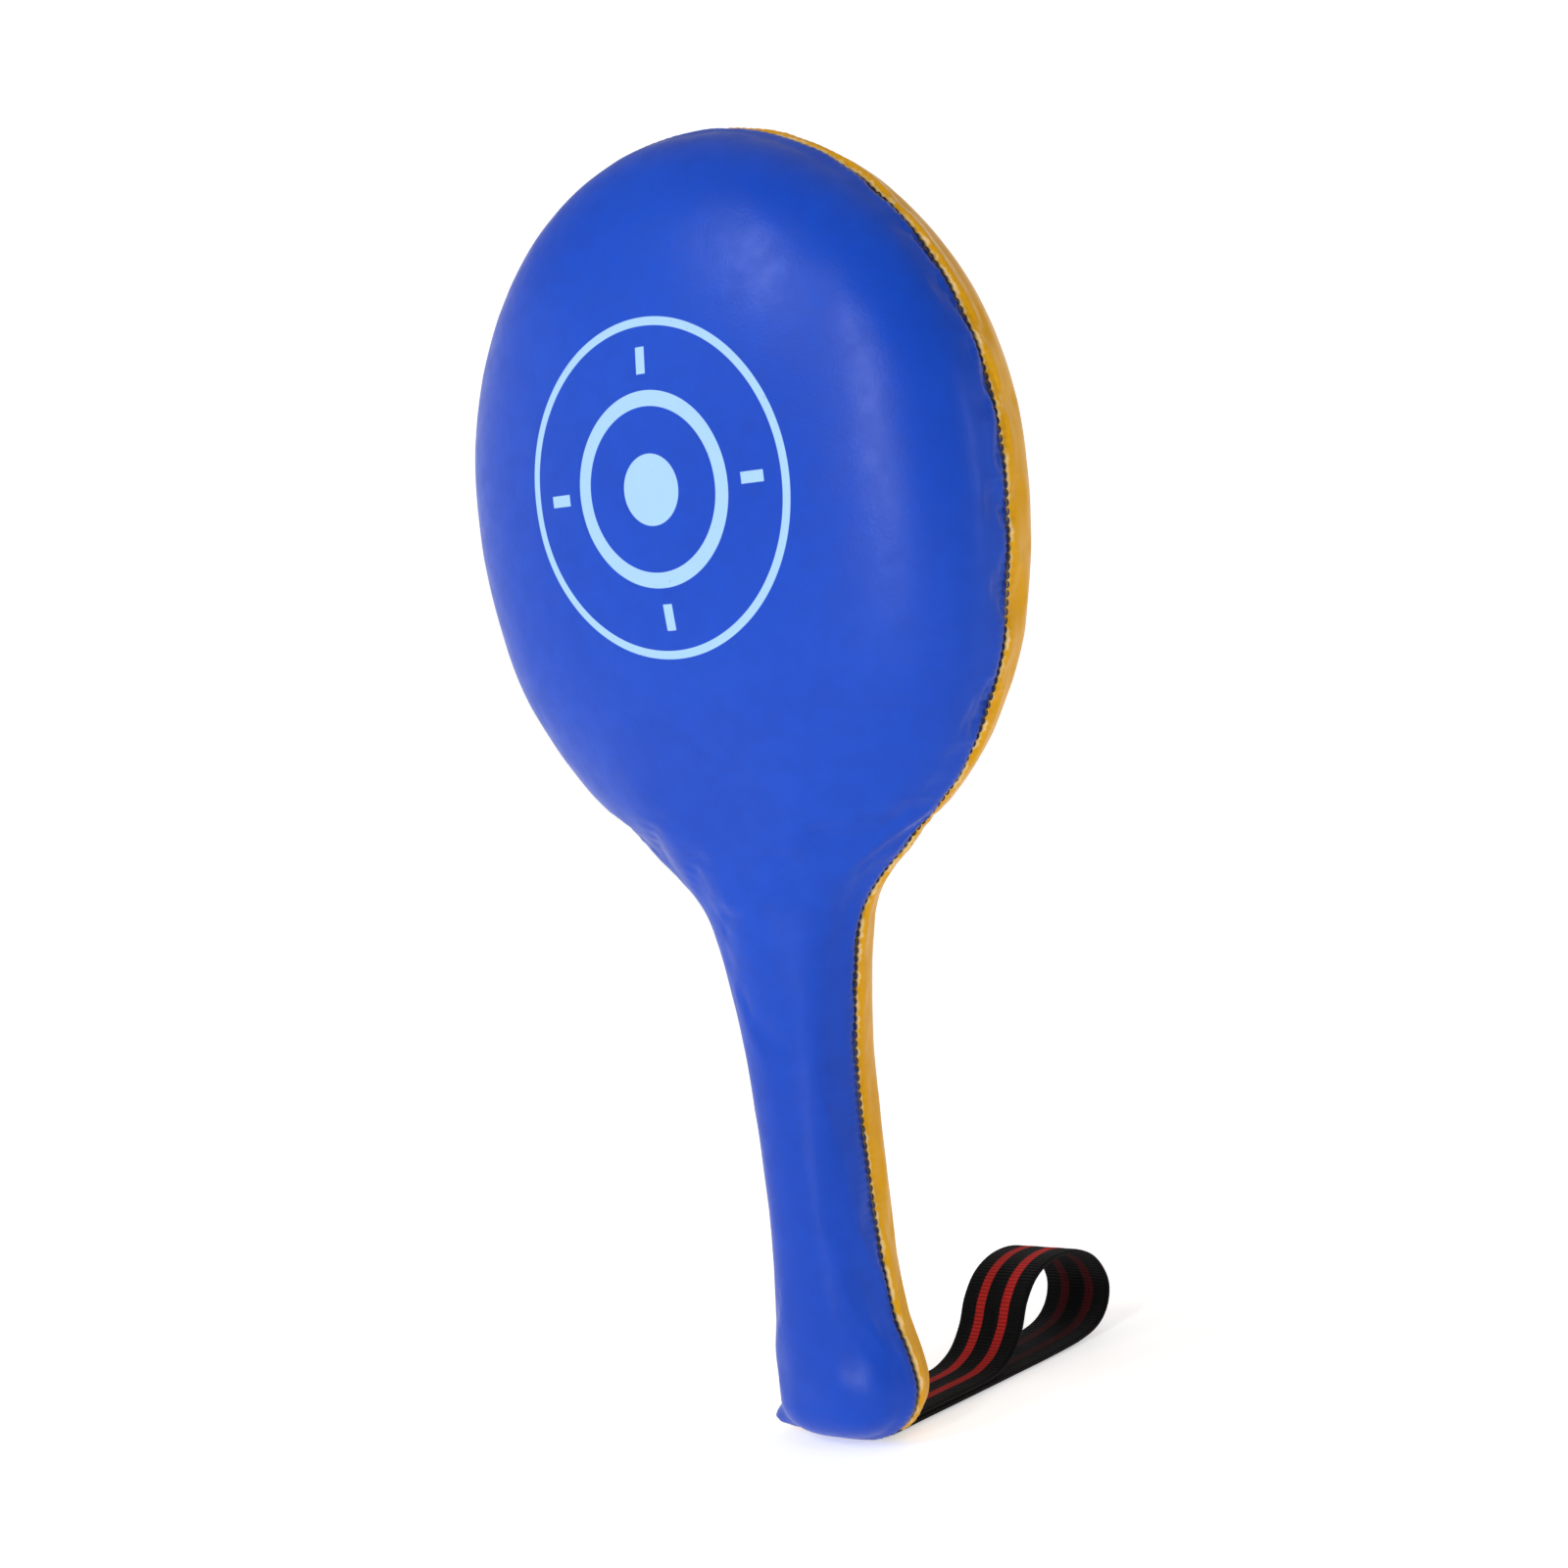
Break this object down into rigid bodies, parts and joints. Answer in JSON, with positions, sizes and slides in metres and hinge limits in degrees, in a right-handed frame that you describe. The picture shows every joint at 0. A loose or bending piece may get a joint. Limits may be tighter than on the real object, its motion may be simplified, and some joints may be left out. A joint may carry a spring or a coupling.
{
  "type": "padded striking paddle",
  "caption": "Hand-held padded striking paddle: oval head, padded grip with a flared butt, two-tone sewn leather covers and a webbing wrist loop.",
  "frame": {"origin": "middle of the butt's underside, in the plane of the cover seam, where the wrist strap leaves the seam", "axes": "+Z from the butt up the grip to the head, -Y out of the front striking face, +X to the right seen from the front"},
  "size_m": [0.1976, 0.1633, 0.3995],
  "materials": {
    "front_leather": "satin",
    "back_leather": "satin",
    "soft_foam": "matte",
    "dense_foam": "matte",
    "core_board": "matte",
    "splint_wood": "matte",
    "rivet_metal": "satin",
    "cream_thread": "matte",
    "black_thread": "matte",
    "webbing": "matte"
  },
  "bodies": {
    "pad": {"front_cover": "front_leather", "back_cover": "back_leather", "head_padding_front": "soft_foam", "head_padding_back": "soft_foam", "head_backing_front": "dense_foam", "head_backing_back": "dense_foam", "grip_padding_front": "soft_foam", "grip_padding_back": "soft_foam", "core_sheet": "core_board", "grip_splint_front": "splint_wood", "grip_splint_back": "splint_wood", "splint_rivets": "rivet_metal", "seam_thread": "cream_thread", "closing_stitches": "black_thread", "strap_tails": "webbing"},
    "strap": {"wrist_strap": "webbing"}
  },
  "joints": [
    {"name": "strap_swing", "type": "hinge", "parent": "pad", "child": "strap", "pos_m": [0, 0, 0], "axis": [1, 0, 0], "range_deg": [-180, 0]}
  ]
}
